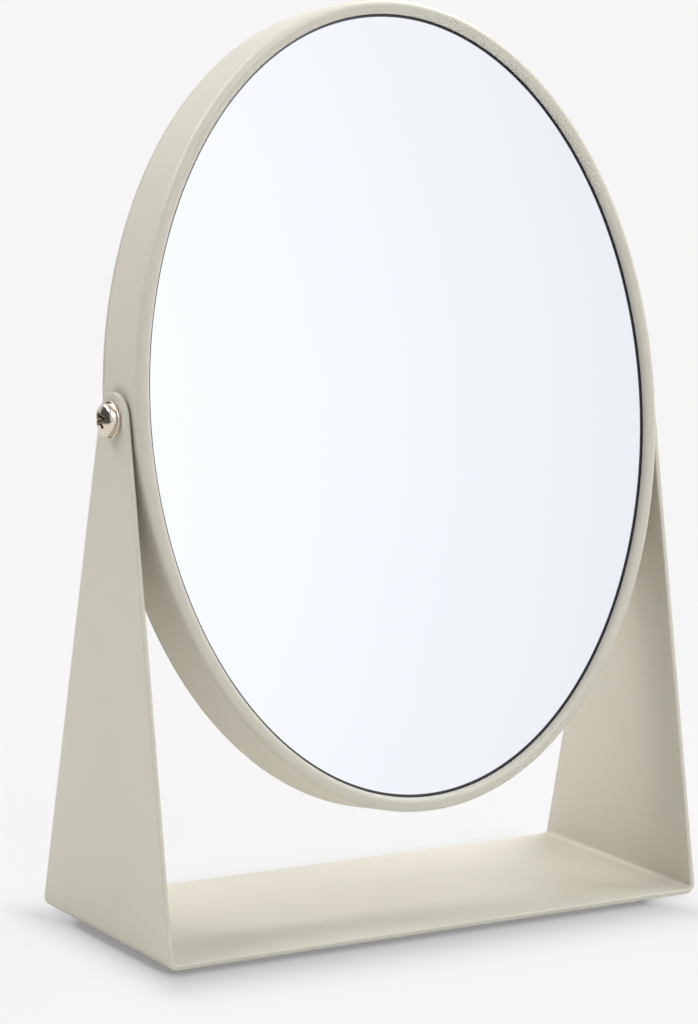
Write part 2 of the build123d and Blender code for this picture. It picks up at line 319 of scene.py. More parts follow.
def make_finish(
    colours, name, tint, roughness, shifts, grain, kind="ShaderNodeTexNoise", detail=None,
    stretch=None, relief=None, peel=None, metallic=0.0, ior=None, thin=None,
):
    """Material whose pattern shifts its colour, by a share, and its roughness either way.

    The grain of the pattern and the height of a relief are in millimetres. The relief follows the
    pattern, or a finer peel. A darker tint on the faces inside a recess paints the shade there,
    where the plating is also thinner.
    """
    rgb = getattr(colours, tint)
    material, tree, place = new_material(name)
    add = partial(add_node, tree)
    if stretch:
        place = add("ShaderNodeMapping", {"Vector": place, "Scale": stretch})
    pattern = add(kind, {"Vector": place, "Scale": 1 / (grain * MM)})
    if detail is not None:
        pattern.inputs["Detail"].default_value = detail
    shift, rough_shift = shifts
    ends = {
        "A": (*[c * (1 - shift) for c in rgb], 1.0),
        "B": (*[min(1.0, c * (1 + shift)) for c in rgb], 1.0),
    }
    base = add("ShaderNodeMix", {"Factor": pattern, **ends}, data_type="RGBA")
    # Painted shade: faces inside a recess take a darker colour.
    if thin:
        share = add("ShaderNodeAttribute", attribute_name=RECESS_SHADE_MARK).outputs["Fac"]
        ends = {"A": base, "B": (*getattr(colours, thin), 1.0)}
        base = add("ShaderNodeMix", {"Factor": share, **ends}, data_type="RGBA")
    ends = {"To Min": roughness - rough_shift, "To Max": roughness + rough_shift}
    rough = add(MAP_RANGE, {"Value": pattern, **ends})
    look = {"Base Color": base, "Roughness": rough, "Metallic": metallic}
    if ior:
        look["IOR"] = ior
    if peel:
        size, fine = peel
        pattern = add(kind, {"Vector": place, "Scale": 1 / (size * MM), "Detail": fine})
    if relief:
        height, strength = relief
        look["Normal"] = add(
            "ShaderNodeBump", {"Height": pattern, "Distance": height * MM, "Strength": strength}
        )
    shader = add("ShaderNodeBsdfPrincipled", look)
    add("ShaderNodeOutputMaterial", {"Surface": shader})
    return material


FINISHES = {  # name, colour, roughness, shifts, grain; then what else make_finish needs
    # Satin polyester powder coat, sprayed and baked. The powder flows into a fine orange peel of
    # about 0.8 mm, which breaks up the sheen, and its film varies a little over a few centimetres.
    "powder_coat": (
        ("greige_powder_coat", "coat", 0.42, (0.025, 0.05), 35),
        {"detail": 2.0, "peel": (0.8, 1.0), "relief": (0.004, 0.2), "ior": 1.5},
    ),
    # Silver chemically laid on float glass. Seen through clear glass it gives a bright, faintly
    # cool mirror image; cleaning leaves a haze that only softens the image by a trace.
    "silvered_glass": (
        ("silvered_mirror_glass", "silver", 0.012, (0.006, 0.01), 60),
        {"detail": 2.0, "metallic": 1.0},
    ),
    # Edge of the glass ground with a fine stone, with the rim of the silvering behind it. It shows
    # no image. Its dark colour with a weak grey gloss is in part painted reflection: it stands in
    # for the shaded gap and lip that the silvering, behind the glass, mirrors beside the lip. Its
    # grit of about 0.2 mm is drawn at 0.5 mm so that it shows.
    "ground_edge_painted_shade": (("ground_glass_edge", "ground", 0.3, (0.2, 0.08), 0.5), {"ior": 1.52}),
    # Inner part of the glass edge, polished after grinding. The narrow slope mirrors the inside of
    # the lip, greyed and bluish, and a little wavy where the felt ran, about every 3 mm.
    "polished_edge": (
        ("polished_glass_edge", "polished", 0.12, (0.05, 0.05), 3),
        {"metallic": 1.0},
    ),
    # Grey lacquer rolled over the silvering: matt, with long faint streaks about 2 mm wide.
    "backing_paint": (
        ("grey_mirror_backing", "back_paint", 0.55, (0.08, 0.06), 2),
        {"detail": 3.0, "stretch": (1.0, 1.0, 0.06)},
    ),
    # Bright nickel plated on steel, a warm bright metal. Barrel plating leaves fine handling marks
    # about 0.3 mm apart, and hardly reaches into a recess. The recess is coloured darker: painted
    # shade, with the thinner plating there.
    "nickel_plate": (
        ("bright_nickel_plate", "nickel", 0.12, (0.04, 0.06), 0.3),
        {"detail": 4.0, "metallic": 1.0, "thin": "shaded_recess_nickel"},
    ),
    # Plain steel of the weld nuts. Cold forming leaves a dull grey with drawn streaks 0.4 mm wide.
    "plain_steel": (
        ("plain_steel", "steel", 0.35, (0.12, 0.1), 0.4),
        {"detail": 3.0, "stretch": (0.1, 1.0, 1.0), "metallic": 1.0},
    ),
    # Washers stamped from nylon sheet: black and satin, with a fine even grain of about 0.25 mm.
    "nylon": (
        ("black_nylon", "nylon", 0.45, (0.15, 0.06), 0.25),
        {"relief": (0.01, 0.4), "ior": 1.53},
    ),
    # Slit foam tape with an open skin: dull black, pitted by cells of about 0.4 mm.
    "black_tape": (
        ("black_glazing_tape", "tape", 0.8, (0.3, 0.08), 0.4),
        {"kind": "ShaderNodeTexVoronoi", "relief": (0.05, 0.6)},
    ),
    # Closed-cell polyethylene foam, slit from a block. Cut cells of about 1 mm give an off-white,
    # dry surface with fine walls.
    "foam": (
        ("closed_cell_foam", "foam", 0.9, (0.06, 0.05), 1.0),
        {"kind": "ShaderNodeTexVoronoi", "relief": (0.2, 0.7)},
    ),
    # Pressed wood board. Fibres about 0.6 mm wide and 6 mm long lie flat in a brown, matt sheet.
    "hardboard": (
        ("brown_hardboard", "board", 0.75, (0.25, 0.08), 0.6),
        {"detail": 4.0, "stretch": (0.1, 1.0, 1.0), "relief": (0.05, 0.5)},
    ),
    # Moulded rubber of the pads: matt and near black, with the stipple of its mould at 0.5 mm.
    "pad_rubber": (
        ("moulded_black_rubber", "rubber", 0.7, (0.15, 0.08), 0.5),
        {"relief": (0.04, 0.6)},
    ),
}
made_finishes = {}


def finish(context, name):
    """The material of a finish, made the first time it is asked for."""
    if name not in made_finishes:
        row, others = FINISHES[name]
        made_finishes[name] = make_finish(context.scene.mirror_colours, *row, **others)
    return made_finishes[name]


def spaced(start, end, steps):
    """Evenly spaced values from start to end."""
    return [start + (end - start) * k / steps for k in range(steps + 1)]


def rounded(corners, steps):
    """Closed section from corners (x, y, radius), with arcs and support points in place."""
    section = []
    for i, (x, y, radius) in enumerate(corners):
        corner = Vector((x, y))
        if radius == 0:
            section.append((x, y))
            continue
        before = Vector(corners[i - 1][:2]) - corner
        after = Vector(corners[(i + 1) % len(corners)][:2]) - corner
        half = before.angle(after) / 2
        before.normalize()
        after.normalize()
        tangent = radius * cos(half) / sin(half)
        centre = corner + (before + after).normalized() * (radius / sin(half))
        start = corner + before * tangent - centre
        turn = start.angle_signed(corner + after * tangent - centre)
        section.append(tuple(corner + before * (tangent + SUPPORT)))
        for around in spaced(0.0, -turn, steps):
            section.append(tuple(centre + Matrix.Rotation(around, 2) @ start))
        section.append(tuple(corner + after * (tangent + SUPPORT)))
    return section


def section_mesh(name, section):
    """Mesh of edges round a closed section, in its own XY plane."""
    count = len(section)
    edges = [(i, (i + 1) % count) for i in range(count)]
    mesh = bpy.data.meshes.new(name)
    mesh.from_pydata([(x, y, 0.0) for x, y in section], edges, [])
    return mesh


def lathe(section, segments):
    """Bmesh of a section (radius, height) turned round Z."""
    turned = bmesh.new()
    points = [turned.verts.new((radius, 0.0, height)) for radius, height in section]
    for first, second in zip(points, points[1:]):
        turned.edges.new((first, second))
    bmesh.ops.spin(
        turned,
        geom=turned.verts[:] + turned.edges[:],
        axis=(0, 0, 1),
        angle=2 * pi,
        steps=segments,
    )
    return turned


def tidied(mesh_data, name, limit=SMOOTH_LIMIT):
    """Plain mesh from a bmesh, merged, with faces outward and smooth where it bends gently."""
    bmesh.ops.remove_doubles(mesh_data, verts=mesh_data.verts, dist=WELD)
    bmesh.ops.recalc_face_normals(mesh_data, faces=mesh_data.faces)
    mesh = bpy.data.meshes.new(name)
    mesh_data.to_mesh(mesh)
    mesh_data.free()
    mesh.shade_smooth()
    mesh.set_sharp_from_angle(angle=limit)
    return mesh


def linked(name, mesh):
    """Object for a mesh, in the scene."""
    piece = bpy.data.objects.new(name, mesh)
    bpy.context.scene.collection.objects.link(piece)
    return piece


def plain_mesh(host, name):
    """Result of a host's modifiers as a tidied mesh; the host is removed."""
    bpy.context.view_layer.update()
    evaluated = host.evaluated_get(bpy.context.evaluated_depsgraph_get())
    grown = bpy.data.meshes.new_from_object(evaluated)
    materials = list(grown.materials)
    mesh_data = bmesh.new()
    mesh_data.from_mesh(grown)
    bpy.data.objects.remove(host)
    bpy.data.meshes.remove(grown)
    mesh = tidied(mesh_data, name)
    for material in materials:
        mesh.materials.append(material)
    return mesh


def grow(name, host_mesh, tree, sizes):
    """Run a node tree on a host mesh and return the result as a plain mesh."""
    host = linked(name + "_host", host_mesh)
    modifier = host.modifiers.new("grow", "NODES")
    modifier.node_group = tree
    for item in tree.interface.items_tree:
        if item.in_out == "INPUT" and item.name in sizes:
            modifier[item.identifier] = sizes[item.name]
    return plain_mesh(host, name)


def cut(name, mesh, cutters):
    """Cut meshes out of a mesh and return the result."""
    host = linked(name + "_host", mesh)
    tools = [linked(f"{name}_cutter_{i}", cutter) for i, cutter in enumerate(cutters)]
    for tool in tools:
        modifier = host.modifiers.new("cut", "BOOLEAN")
        modifier.operation = "DIFFERENCE"
        modifier.solver = "EXACT"
        modifier.object = tool
    result = plain_mesh(host, name)
    for tool in tools:
        bpy.data.objects.remove(tool)
    return result


def settle(name, mesh, body, nodes):
    """Put a finished mesh in the scene as a piece that rides on a body, and hide the parts it
    replaces.
    """
    piece = linked(name, mesh)
    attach(piece, body)
    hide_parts(*nodes)


def new_tree(name, sizes):
    """Geometry node tree with named inputs; returns it with the sockets of its inputs."""
    tree = bpy.data.node_groups.new(name, "GeometryNodeTree")
    kinds = {"Geometry": "NodeSocketGeometry", "Material": "NodeSocketMaterial"}
    for size in ("Geometry", *sizes, "Material"):
        kind = kinds.get(size, "NodeSocketFloat")
        tree.interface.new_socket(name=size, in_out="INPUT", socket_type=kind)
    tree.interface.new_socket(name="Geometry", in_out="OUTPUT", socket_type="NodeSocketGeometry")
    return tree, add_node(tree, "NodeGroupInput").outputs


def close_tree(tree, given, geometry):
    """End a tree: realize its instances, set the material and hand the geometry on."""
    real = add_node(tree, "GeometryNodeRealizeInstances", {"Geometry": geometry})
    dressed = add_node(
        tree, "GeometryNodeSetMaterial", {"Geometry": real, "Material": given["Material"]}
    )
    add_node(tree, "NodeGroupOutput", {"Geometry": dressed})


def place_on_pivot(tree, given, geometry):
    """Turn geometry about the pivot axis by Tilt and lift it to Pivot Height."""
    tilt = add_node(tree, COMBINE, {"X": given["Tilt"]})
    turn = add_node(tree, "FunctionNodeEulerToRotation", {"Euler": tilt})
    lift = add_node(tree, COMBINE, {"Z": given["Pivot Height"]})
    return add_node(
        tree,
        "GeometryNodeTransform",
        {"Geometry": geometry, "Rotation": turn, "Translation": lift},
    )


def oval_sweep_tree():
    """Sweep the host's section round the oval; its x runs outward and its y to the rear."""
    tree, given = new_tree(
        "oval_sweep", ("Width", "Height", "Pivot Offset", "Tilt", "Pivot Height")
    )
    add = partial(add_node, tree)
    circle = add("GeometryNodeCurvePrimitiveCircle", {"Resolution": OVAL_STEPS, "Radius": 0.5})
    size = add(COMBINE, {"X": given["Width"], "Y": given["Height"]})
    size.inputs["Z"].default_value = 1.0
    drop = add(MATHS, {0: given["Pivot Offset"], 1: -1.0}, operation="MULTIPLY")
    shift = add(COMBINE, {"Y": drop})
    path = add("GeometryNodeTransform", {"Geometry": circle, "Scale": size, "Translation": shift})
    level = add("GeometryNodeSetCurveNormal", {"Curve": path}, mode="Z_UP")
    section = add("GeometryNodeMeshToCurve", {"Mesh": given["Geometry"]})
    swept = add("GeometryNodeCurveToMesh", {"Curve": level, "Profile Curve": section})
    close_tree(tree, given, place_on_pivot(tree, given, swept))
    return tree


def pivot_pair_tree():
    """Set the host, made along +Z, outward on both ends of the pivot axis."""
    tree, given = new_tree("pivot_pair", ("Tilt", "Pivot Height"))
    add = partial(add_node, tree)
    ends = add("GeometryNodeMeshLine", {"Count": 2, "Offset": (0, 0, 0)})
    index = add("GeometryNodeInputIndex")
    quarter = add(MATHS, {0: index, 1: pi, 2: -pi / 2}, operation="MULTIPLY_ADD")
    euler = add(COMBINE, {"Y": quarter})
    turn = add("FunctionNodeEulerToRotation", {"Euler": euler})
    pair = add(
        "GeometryNodeInstanceOnPoints",
        {"Points": ends, "Instance": given["Geometry"], "Rotation": turn},
    )
    close_tree(tree, given, place_on_pivot(tree, given, pair))
    return tree


def corner_set_tree():
    """Set the host at the four corners of a level rectangle."""
    tree, given = new_tree("corner_set", ("Spacing X", "Spacing Y"))
    corners = add_node(
        tree,
        "GeometryNodeMeshGrid",
        {
            "Size X": given["Spacing X"],
            "Size Y": given["Spacing Y"],
            "Vertices X": 2,
            "Vertices Y": 2,
        },
    )
    placed = add_node(
        tree, "GeometryNodeInstanceOnPoints", {"Points": corners, "Instance": given["Geometry"]}
    )
    close_tree(tree, given, placed)
    return tree


def pivot_drill(stand, pivot):
    """Cutter for the pivot holes, through the whole width."""
    drill = bmesh.new()
    bmesh.ops.create_cone(
        drill,
        cap_ends=True,
        segments=HOLE_STEPS,
        radius1=pivot.screw / 2 + pivot.clearance,
        radius2=pivot.screw / 2 + pivot.clearance,
        depth=4 * stand.ear_inside,
    )
    turn = Matrix.Rotation(pi / 2, 4, "Y")
    bmesh.ops.transform(
        drill, verts=drill.verts, matrix=Matrix.Translation((0, 0, stand.pivot_height)) @ turn
    )
    return tidied(drill, "pivot_drill")


def head_faces(head):
    """Depths of the front and the rear of the drum."""
    return -head.depth / 2 - head.behind_middle, head.depth / 2 - head.behind_middle


def band_corners(head):
    """Section of the band: side, shoulder, hemmed lip, and the inside of the sheet."""
    front, rear = head_faces(head)
    joint = rear - head.bezel_rim
    lip_back = front + head.lip_thickness
    return [
        (0.0, joint, head.joint_edge),
        (0.0, front, head.shoulder),
        (-head.lip_reach, front, head.lip_edge),
        (-head.lip_reach, lip_back, 0.0),
        (-head.sheet, lip_back, head.shoulder - head.sheet),
        (-head.sheet, joint, 0.0),
    ]


def bezel_corners(head):
    """Section of the rear bezel: rim, shoulder, lip, and the skirt inside the band."""
    _, rear = head_faces(head)
    joint = rear - head.bezel_rim
    skirt_outside = -head.sheet - head.bezel_gap
    skirt_inside = skirt_outside - head.sheet
    skirt_front = joint - head.bezel_skirt
    lip_front = rear - head.rear_lip
    return [
        (0.0, joint + head.bezel_gap, head.joint_edge),
        (skirt_outside, joint + head.bezel_gap, 0.0),
        (skirt_outside, skirt_front, 0.0),
        (skirt_inside, skirt_front, 0.0),
        (skirt_inside, lip_front, 0.0),
        (-head.lip_reach, lip_front, 0.0),
        (-head.lip_reach, rear, head.rear_lip_edge),
        (0.0, rear, head.shoulder),
    ]


def oval_ring(head, stand, inset, depth, share=1.0):
    """Points of the oval moved inward by inset and shrunk to a share.

    The depth is a number or a rule.
    """
    place = Matrix.Translation((0, 0, stand.pivot_height)) @ Matrix.Rotation(-head.lean, 4, "X")
    points = []
    for i in range(OVAL_STEPS):
        around = 2 * pi * i / OVAL_STEPS
        x = share * (head.width / 2 - inset) * cos(around)
        z = share * (head.height / 2 - inset) * sin(around)
        y = depth(x, z) if callable(depth) else depth
        points.append(place @ Vector((x, y, z - head.above_centre)))
    return points


def skin(mesh_data, loops, numbers):
    """Join loops of points by bands of faces, with one finish number a band."""
    for near, far, number in zip(loops, loops[1:], numbers):
        for i in range(len(near)):
            face = mesh_data.faces.new((near[i - 1], near[i], far[i], far[i - 1]))
            face.material_index = number


def stacked(rings, finishes):
    """Bmesh through rings of points, closed by a face at each end; one finish number a band."""
    stack = bmesh.new()
    loops = [[stack.verts.new(point) for point in ring] for ring in rings]
    skin(stack, loops, finishes[1:])
    for loop, number in ((loops[0], finishes[0]), (loops[-1], finishes[-1])):
        stack.faces.new(loop).material_index = number
    return stack


def flat_glass(head, stand):
    """Flat glass: silvered face, polished edge, ground edge darkened as painted reflection of the
    shaded lip, and painted rim and back.
    """
    front, _ = head_faces(head)
    face = front + head.lip_thickness + head.tape
    back = face + head.glass
    rim = head.sheet + head.glass_clearance
    start = head.lip_reach + head.ground_show
    slope = head.ground_drop / (start - rim)
    places = (
        (start, face),
        (start - head.polished_show, face + slope * head.polished_show),
        (rim, face + head.ground_drop),
        (rim, back),
    )
    rings = [oval_ring(head, stand, inset, depth) for inset, depth in places]
    finishes = [SILVERED, POLISHED, GROUND_AND_SHADE, PAINTED, PAINTED]
    return tidied(stacked(rings, finishes), "front_mirror_glass", FLAT_LIMIT)


def concave_glass(head, stand):
    """Glass bent to part of a sphere: silvered hollow face to the rear, painted back."""
    inset = 2 * head.sheet + head.bezel_gap + head.glass_clearance
    long_half = head.height / 2 - inset
    radius = (long_half**2 + head.sag**2) / (2 * head.sag)
    _, rear = head_faces(head)
    middle = rear - head.rear_lip - head.rear_tape - head.sag

    def face(x, z):
        return middle + radius - sqrt(radius**2 - x**2 - z**2)

    def back(x, z):
        outer = radius + head.glass
        return middle + radius - sqrt(outer**2 - x**2 - z**2)

    shares = spaced(0.0, 1.0, CONCAVE_RINGS)[1:]
    loops = [oval_ring(head, stand, inset, face, share) for share in shares]
    loops += [oval_ring(head, stand, inset, back, share) for share in reversed(shares)]
    finishes = [SILVERED] * CONCAVE_RINGS + [PAINTED] * (CONCAVE_RINGS + 1)
    return tidied(stacked(loops, finishes), "rear_magnifying_glass")


def arm_stations(stand):
    """Stations of half the stand, from the top of the right ear to the middle of the base.

    Each holds a point of the mid-sheet (x, z), the outward normal and the upward direction of the
    sheet there, and the half depth of the outline with its normal across and along the sheet.
    """
    mid = stand.ear_inside + stand.sheet / 2
    base_level = stand.pad_thickness + stand.sheet / 2
    bend = stand.bend + stand.sheet / 2
    corner = stand.depth / 2
    shoulder = stand.pad_thickness + stand.bend + stand.sheet
    rise = stand.pivot_height - shoulder
    slant = acos(stand.ear / hypot(corner, rise)) - atan2(rise, corner)
    upright = []
    for around in spaced(pi / 2, slant, EAR_STEPS):
        y = stand.ear * cos(around)
        upright.append((y, stand.pivot_height + stand.ear * sin(around), around))
    centre_y = corner - stand.corner
    centre_z = shoulder - stand.corner * tan(slant / 2)
    low = asin((shoulder - centre_z) / stand.corner)
    for around in spaced(slant, low, CORNER_STEPS)[:-1]:
        y = centre_y + stand.corner * cos(around)
        upright.append((y, centre_z + stand.corner * sin(around), around))
    outward, upward = Vector((1, 0, 0)), Vector((0, 0, 1))
    stations = [
        (Vector((mid, 0, z)), outward, upward, y, cos(around), sin(around))
        for y, z, around in upright
    ]
    for turn in spaced(0.0, pi / 2, BEND_STEPS):
        normal = Vector((cos(turn), 0, -sin(turn)))
        along = Vector((sin(turn), 0, cos(turn)))
        point = Vector((mid - bend, 0, base_level + bend)) + bend * normal
        above = max(0.0, point.z - centre_z)
        y = centre_y + sqrt(stand.corner**2 - above**2)
        stations.append((point, normal, along, y, 1.0, 0.0))
    inner_end = Vector((mid - bend - 2 * stand.edge, 0, base_level))
    stations.append((inner_end, Vector((0, 0, -1)), Vector((1, 0, 0)), corner, 1.0, 0.0))
    return stations


def stand_mesh(stand):
    """Strip bent to a U with tapering arms and rounded edges, before its ears are drilled."""
    half = arm_stations(stand)
    flip = Vector((-1, 1, 1))
    other = [(p * flip, n * flip, a * flip, y, c, s) for p, n, a, y, c, s in reversed(half)]
    stations = half + other
    level = stand.sheet / 2 - stand.edge
    arc = spaced(0.0, pi / 2, EDGE_STEPS)
    outer = [(stand.edge * (1 - cos(t)), level + stand.edge * sin(t)) for t in arc]
    outer.append((stand.edge + SUPPORT, stand.sheet / 2))
    edge = [(inset, -rise) for inset, rise in reversed(outer)] + outer
    strip = bmesh.new()
    loops = []
    for point, normal, along, y, across, up in stations:
        sides = []
        for side in (-1, 1):
            for inset, rise in edge:
                spot = point + normal * rise - along * (inset * up)
                spot.y = side * max(0.0, y - inset * across)
                sides.append(strip.verts.new(spot))
        loops.append(sides)
    count = len(edge)
    order = list(range(count)) + list(range(2 * count - 1, count - 1, -1))
    for near, far in zip(loops, loops[1:]):
        for i, k in zip(order, order[1:] + order[:1]):
            strip.faces.new((near[i], near[k], far[k], far[i]))
    bmesh.ops.remove_doubles(strip, verts=strip.verts, dist=WELD)
    bmesh.ops.dissolve_degenerate(strip, edges=strip.edges, dist=WELD)
    bmesh.ops.holes_fill(strip, edges=strip.edges)
    return tidied(strip, "stand_bracket")


def washer_mesh(name, pivot, diameter, thickness, seat):
    """Flat washer along +Z from a seat, with rounded outer edges."""
    bore = pivot.screw / 2 + pivot.clearance
    section = rounded(
        [
            (bore, seat, 0.0),
            (diameter / 2, seat, pivot.washer_edge),
            (diameter / 2, seat + thickness, pivot.washer_edge),
            (bore, seat + thickness, 0.0),
        ],
        EDGE_STEPS,
    )
    return tidied(lathe(section + section[:1], ROUND_STEPS), name)


def recess_cutters(pivot):
    """Cutters for a cross recess: a tapered hole and two tapered slots."""
    core = bmesh.new()
    bmesh.ops.create_cone(
        core,
        cap_ends=True,
        segments=CORE_STEPS,
        radius1=RECESS_BOTTOM * pivot.recess_core / 2,
        radius2=pivot.recess_core / 2,
        depth=pivot.recess_core_depth,
    )
    centre = (0, 0, pivot.cap_height - pivot.recess_core_depth / 2)
    bmesh.ops.translate(core, verts=core.verts, vec=centre)
    cutters = [tidied(core, "recess_core")]
    half_length, half_width = pivot.recess / 2, pivot.recess_slot / 2
    for turn in (0.0, pi / 2):
        slot = bmesh.new()
        for share, height in ((1.0, 0.0), (RECESS_BOTTOM, -pivot.recess_depth)):
            z = pivot.cap_height + height
            for x, y in ((1, 1), (-1, 1), (-1, -1), (1, -1)):
                slot.verts.new((x * share * half_length, y * share * half_width, z))
        for vert in [v for v in slot.verts if v.co.z >= pivot.cap_height]:
            slot.verts.new(vert.co + Vector((0, 0, pivot.cap_height)))
        bmesh.ops.convex_hull(slot, input=slot.verts)
        turned = Matrix.Rotation(pivot.recess_turn + turn, 3, "Z")
        bmesh.ops.rotate(slot, verts=slot.verts, matrix=turned)
        cutters.append(tidied(slot, "recess_cutter"))
    return cutters


def add_thread(screw, pivot, root):
    """Add a helical thread on a root radius, which runs out at both ends."""
    levels = int(pivot.screw_length / pivot.pitch * THREAD_LEVELS)
    loops = []
    for k in range(levels + 1):
        z = -pivot.screw_length * k / levels
        near_tip = min(1.0, (pivot.screw_length + z) / pivot.pitch)
        near_cap = min(1.0, -z / pivot.pitch)
        loop = []
        for i in range(THREAD_SIDES):
            phase = (z / pivot.pitch + i / THREAD_SIDES) % 1.0
            flank = THREAD_RISE * (1 - abs(2 * phase - 1)) - THREAD_ROOT
            crest = max(0.0, min(1.0, flank))
            radius = root + (pivot.screw / 2 - root) * crest * near_cap * near_tip
            around = 2 * pi * i / THREAD_SIDES
            loop.append(screw.verts.new((radius * cos(around), radius * sin(around), z)))
        loops.append(loop)
    skin(screw, loops, [0] * levels)
    screw.faces.new(loops[-1])
    screw.faces.new(loops[0])


def screw_mesh(pivot, seat):
    """Pan-head screw along +Z with its head on a seat: domed head, cross recess, cut thread."""
    rim = pivot.cap / 2
    inner = rim - pivot.cap_edge
    middle = pivot.cap_height - pivot.crown
    edge_rise = sqrt((pivot.crown - pivot.cap_edge) ** 2 - inner**2)
    reach = atan2(inner, edge_rise)
    profile = []
    for turn in spaced(0.0, reach, CROWN_STEPS):
        profile.append((pivot.crown * sin(turn), middle + pivot.crown * cos(turn)))
    for turn in spaced(reach, pi / 2, CAP_EDGE_STEPS)[1:]:
        height = middle + edge_rise + pivot.cap_edge * cos(turn)
        profile.append((inner + pivot.cap_edge * sin(turn), height))
    root = pivot.screw / 2 - THREAD_DEPTH * pivot.pitch
    profile += [(rim, CAP_BREAK), (rim - CAP_BREAK, 0.0), (root, 0.0)]
    cap = lathe(profile, ROUND_STEPS)
    bmesh.ops.remove_doubles(cap, verts=cap.verts, dist=WELD)
    bmesh.ops.holes_fill(cap, edges=[edge for edge in cap.edges if edge.is_boundary])
    head_mesh = cut("screw_head", tidied(cap, "screw_cap"), recess_cutters(pivot))
    screw = bmesh.new()
    screw.from_mesh(head_mesh)
    bpy.data.meshes.remove(head_mesh)
    # Faces inside the recess are marked for painted shade, where the plating is also thinner.
    thin = screw.faces.layers.float.new(RECESS_SHADE_MARK)
    deepest = pivot.cap_height - pivot.recess_core_depth - SUPPORT
    for face in screw.faces:
        spot = face.calc_center_median()
        sunk = hypot(spot.x, spot.y, spot.z - middle) < pivot.crown - SUPPORT / 4
        if sunk and spot.z > deepest and hypot(spot.x, spot.y) < pivot.recess / 2:
            face[thin] = 1.0
    add_thread(screw, pivot, root)
    bmesh.ops.translate(screw, verts=screw.verts, vec=(0, 0, seat))
    return tidied(screw, "pivot_screw")


class TABLEMIRROR_OT_rims(bpy.types.Operator):
    """Sweep the band and the rear bezel round the oval"""

    bl_idname = "tablemirror.rims"
    bl_label = "Band and bezel"

    def execute(self, context):
        scene = context.scene
        head, stand, pivot = scene.mirror_head, scene.mirror_stand, scene.mirror_pivot
        tree = oval_sweep_tree()
        sizes = {
            "Width": head.width,
            "Height": head.height,
            "Pivot Offset": head.above_centre,
            "Tilt": pi / 2 - head.lean,
            "Pivot Height": stand.pivot_height,
            "Material": finish(context, "powder_coat"),
        }
        cutters = {"frame_band": [pivot_drill(stand, pivot)], "rear_bezel": []}
        sections = {"frame_band": band_corners(head), "rear_bezel": bezel_corners(head)}
        for node, corners in sections.items():
            host = section_mesh(f"{node}_section", rounded(corners, RIM_STEPS))
            mesh = cut(node, grow(node, host, tree, sizes), cutters[node])
            settle(f"{node}.coated", mesh, HEAD, [node])
        return {"FINISHED"}


class TABLEMIRROR_OT_glass(bpy.types.Operator):
    """Make the flat front glass and the concave rear glass"""

    bl_idname = "tablemirror.glass"
    bl_label = "Mirror glass"

    def execute(self, context):
        head, stand = context.scene.mirror_head, context.scene.mirror_stand
        glasses = {
            "front_mirror_glass": flat_glass(head, stand),
            "rear_magnifying_glass": concave_glass(head, stand),
        }
        for node, mesh in glasses.items():
            for name in GLASS_FINISHES:
                mesh.materials.append(finish(context, name))
            settle(f"{node}.silvered", mesh, HEAD, [node])
        return {"FINISHED"}


class TABLEMIRROR_OT_filling(bpy.types.Operator):
    """Give the tapes, foam, board and nuts inside the head their finishes"""

    bl_idname = "tablemirror.filling"
    bl_label = "Inside of the head"

    def execute(self, context):
        finishes = {
            "front_glazing_tape": "black_tape",
            "rear_glazing_tape": "black_tape",
            "front_backing_foam": "foam",
            "rear_support_ring": "foam",
            "core_board": "hardboard",
            "weld_nut_left": "plain_steel",
            "weld_nut_right": "plain_steel",
        }
        for node, name in finishes.items():
            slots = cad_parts[node].material_slots
            if not slots:
                raise RuntimeError(f"{node} has no material slot")
            for material_slot in slots:
                material_slot.material = finish(context, name)
        return {"FINISHED"}


class TABLEMIRROR_OT_stand(bpy.types.Operator):
    """Bend the stand from its strip and drill its ears"""

    bl_idname = "tablemirror.stand"
    bl_label = "Stand"

    def execute(self, context):
        stand, pivot = context.scene.mirror_stand, context.scene.mirror_pivot
        mesh = cut("stand_bracket", stand_mesh(stand), [pivot_drill(stand, pivot)])
        mesh.materials.append(finish(context, "powder_coat"))
        settle("stand_bracket.coated", mesh, STAND, ["stand_bracket"])
        return {"FINISHED"}


class TABLEMIRROR_OT_pivots(bpy.types.Operator):
    """Make the screws and washers on both ends of the pivot axis"""

    bl_idname = "tablemirror.pivots"
    bl_label = "Pivot screws and washers"

    def execute(self, context):
        scene = context.scene
        head, stand, pivot = scene.mirror_head, scene.mirror_stand, scene.mirror_pivot
        washer_seat = stand.ear_inside + stand.sheet + pivot.running_gap
        screw_seat = washer_seat + pivot.washer_thickness
        friction_seat = head.width / 2 + pivot.running_gap
        screw = screw_mesh(pivot, screw_seat)
        washer = washer_mesh(
            "screw_washer", pivot, pivot.washer, pivot.washer_thickness, washer_seat
        )
        friction = washer_mesh(
            "friction_washer", pivot, pivot.friction, pivot.friction_thickness, friction_seat
        )
        pieces = (
            ("pivot_screw", screw, HEAD, "nickel_plate"),
            ("screw_washer", washer, HEAD, "nickel_plate"),
            ("friction_washer", friction, STAND, "nylon"),
        )
        tree = pivot_pair_tree()
        for node, host, body, slot in pieces:
            sizes = {
                "Tilt": -head.lean,
                "Pivot Height": stand.pivot_height,
                "Material": finish(context, slot),
            }
            mesh = grow(f"{node}s", host, tree, sizes)
            settle(f"{node}s.pair", mesh, body, [f"{node}_left", f"{node}_right"])
        return {"FINISHED"}


